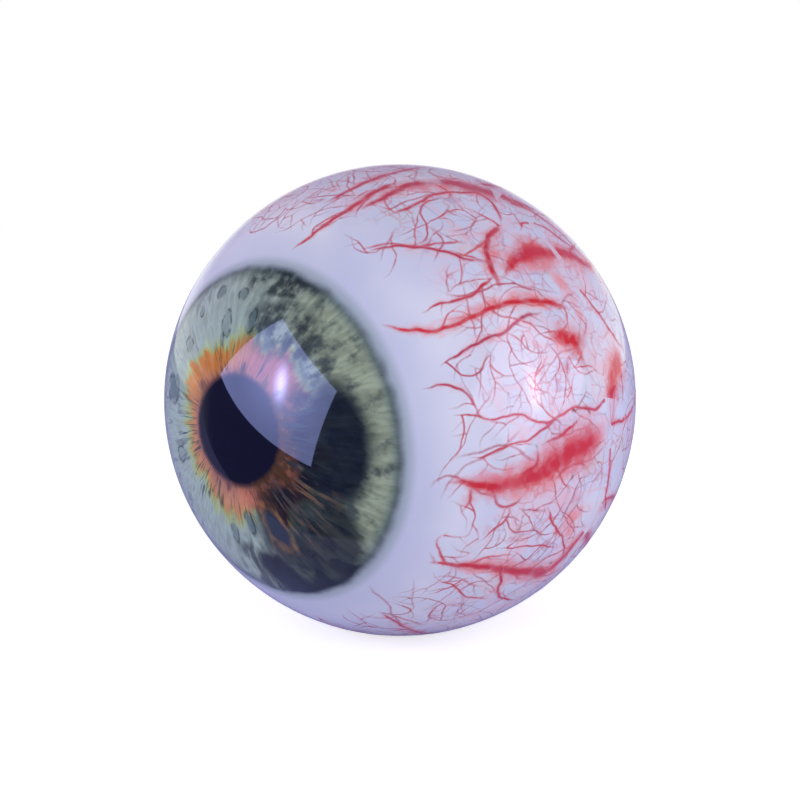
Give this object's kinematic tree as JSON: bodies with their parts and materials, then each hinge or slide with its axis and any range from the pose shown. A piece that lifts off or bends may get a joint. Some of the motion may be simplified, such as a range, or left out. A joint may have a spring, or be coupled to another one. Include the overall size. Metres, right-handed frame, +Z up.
{
  "type": "eye anatomy model",
  "caption": "Take-apart eyeball with printed iris and vessels on two half shells, holding lift-out layers, lens, iris and optic nerve.",
  "frame": {"origin": "centre of the flat foot under the ball, below the ball's centre", "axes": "+Z up, -Y is the direction of the gaze, -X is the nasal side of this left eye"},
  "size_m": [0.144, 0.1615, 0.1422],
  "materials": {
    "sclera_print": "printed with iris and red vessels under a polished clear coat",
    "choroid": "dark red-brown, satin",
    "retina": "orange, satin, with printed vessels inside",
    "clear_vitreous": "clear, polished",
    "clear_lens": "clear, faintly yellow, polished",
    "zonule": "pale, satin",
    "ciliary_body": "dark brown, satin",
    "iris": "grey-green with an orange ring round the pupil, painted",
    "nerve_sheath": "off-white, satin",
    "nerve": "pale yellow, satin",
    "artery_red": "red, satin",
    "vein_blue": "blue, satin",
    "steel_pin": "ground",
    "magnet_nickel": "nickel-plated"
  },
  "bodies": {
    "rear_half": {"rear_sclera_shell": "sclera_print", "rim_pin_1": "steel_pin", "rim_pin_2": "steel_pin", "rear_magnet_1": "magnet_nickel", "rear_magnet_2": "magnet_nickel", "rear_magnet_3": "magnet_nickel", "rear_magnet_4": "magnet_nickel"},
    "optic_nerve": {"nerve_sheath": "nerve_sheath", "nerve_core": "nerve", "retinal_artery": "artery_red", "retinal_vein": "vein_blue"},
    "choroid": {"choroid_cup": "choroid"},
    "retina": {"retina_cup": "retina"},
    "vitreous": {"vitreous_body": "clear_vitreous"},
    "lens": {"crystalline_lens": "clear_lens", "zonule_ring": "zonule"},
    "iris_unit": {"ciliary_ring": "ciliary_body", "front_choroid_ring": "choroid", "front_retina_ring": "retina", "iris_disc": "iris"},
    "front_half": {"front_sclera_shell": "sclera_print", "front_magnet_1": "magnet_nickel", "front_magnet_2": "magnet_nickel", "front_magnet_3": "magnet_nickel", "front_magnet_4": "magnet_nickel"}
  },
  "joints": [
    {"name": "nerve_pull", "type": "slide", "parent": "rear_half", "child": "optic_nerve", "axis": [0, 1, 0], "range_m": [0, 0.04]},
    {"name": "choroid_lift", "type": "slide", "parent": "rear_half", "child": "choroid", "axis": [0, -1, 0], "range_m": [0, 0.07]},
    {"name": "retina_lift", "type": "slide", "parent": "choroid", "child": "retina", "axis": [0, -1, 0], "range_m": [0, 0.07]},
    {"name": "vitreous_lift", "type": "slide", "parent": "retina", "child": "vitreous", "axis": [0, -1, 0], "range_m": [0, 0.07]},
    {"name": "lens_lift", "type": "slide", "parent": "vitreous", "child": "lens", "axis": [0, -1, 0], "range_m": [0, 0.03]},
    {"name": "iris_unit_lift", "type": "slide", "parent": "lens", "child": "iris_unit", "axis": [0, -1, 0], "range_m": [0, 0.06]},
    {"name": "front_half_lift", "type": "slide", "parent": "iris_unit", "child": "front_half", "axis": [0, -1, 0], "range_m": [0, 0.07]}
  ]
}
